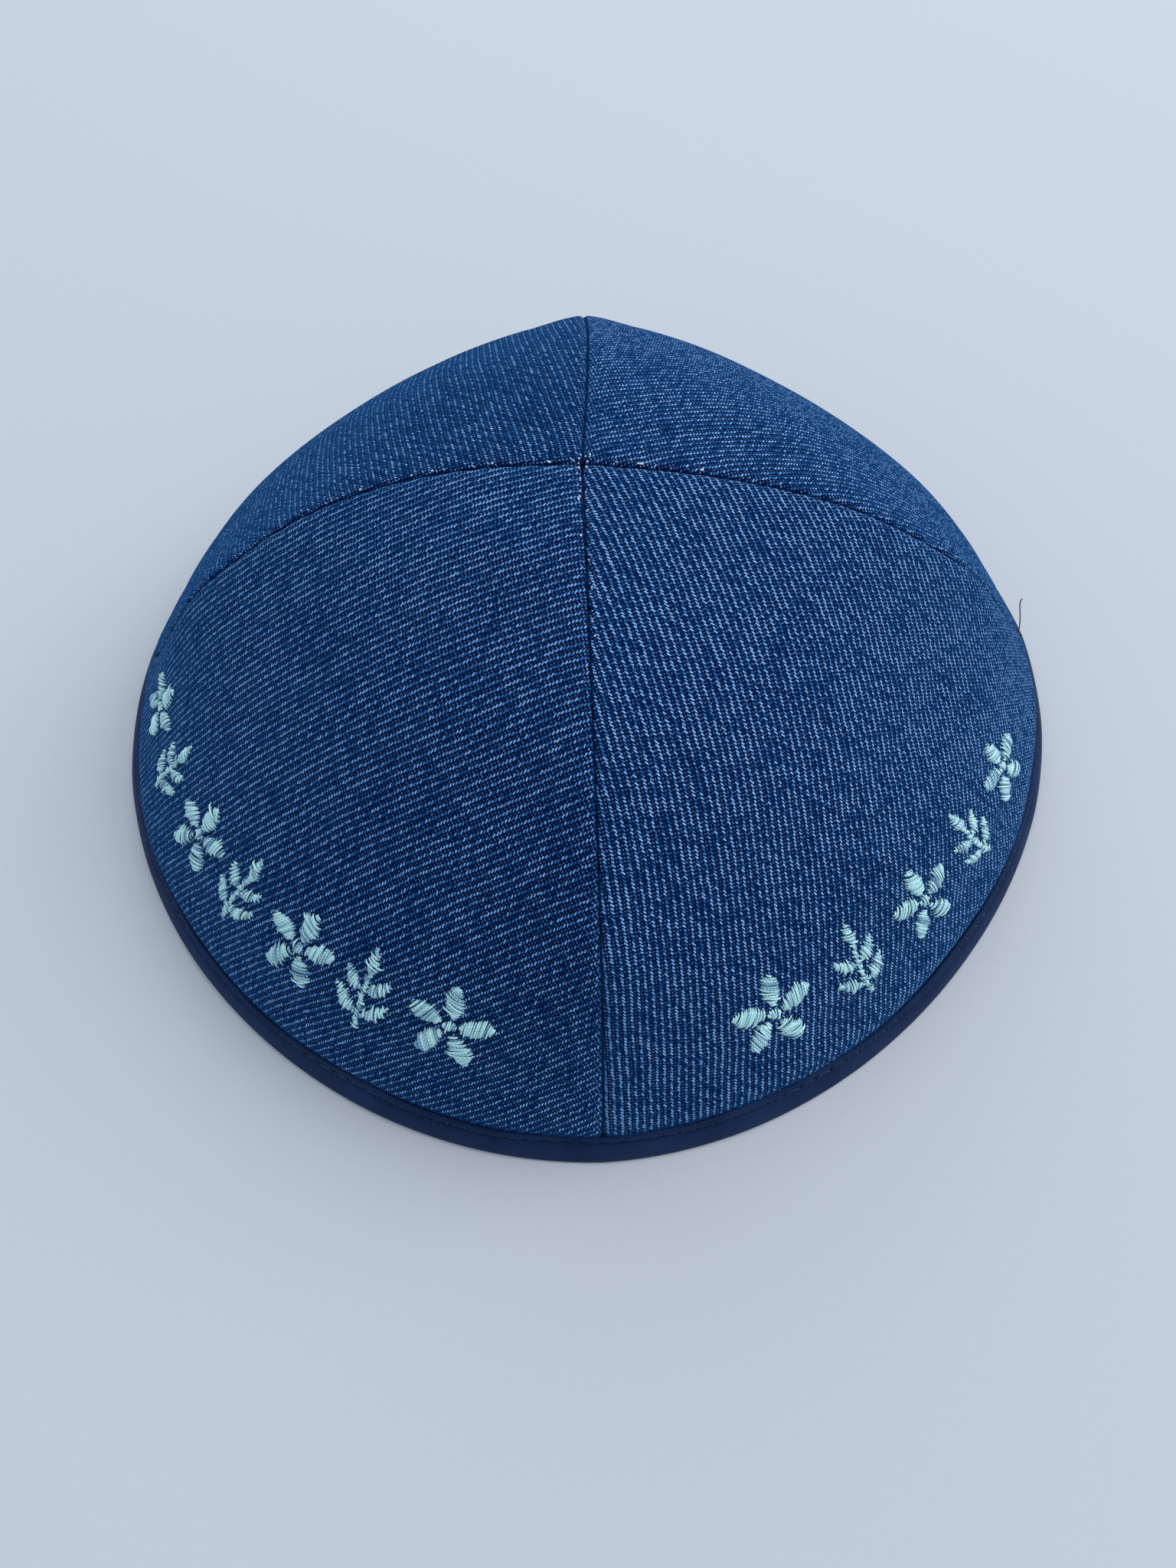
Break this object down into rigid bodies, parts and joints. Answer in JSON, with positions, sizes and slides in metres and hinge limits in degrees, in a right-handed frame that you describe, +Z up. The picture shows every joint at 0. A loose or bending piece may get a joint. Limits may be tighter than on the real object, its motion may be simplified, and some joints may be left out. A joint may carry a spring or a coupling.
{
  "type": "kippah skullcap",
  "caption": "Shallow domed skullcap sewn from quarter panels of cloth, with a folded tape binding round its rim.",
  "frame": {"origin": "on the ground below the middle of the rim, as the cap lies on its rim", "axes": "+Z up through the crown, -Y towards the front seam, +X to the right of someone who faces the front"},
  "size_m": [0.166, 0.1703, 0.0575],
  "materials": {
    "denim": "mid-blue denim twill, matt, with paler flecks",
    "navy_tape": "navy woven tape with a soft satin sheen",
    "aqua_thread": "pale aqua satin-stitch embroidery thread, shiny",
    "white_thread": "off-white cotton thread ends"
  },
  "bodies": {
    "root": {"panel_back_right": "denim", "panel_back_left": "denim", "panel_front_left": "denim", "panel_front_right": "denim", "rim_binding": "navy_tape"}
  },
  "joints": []
}
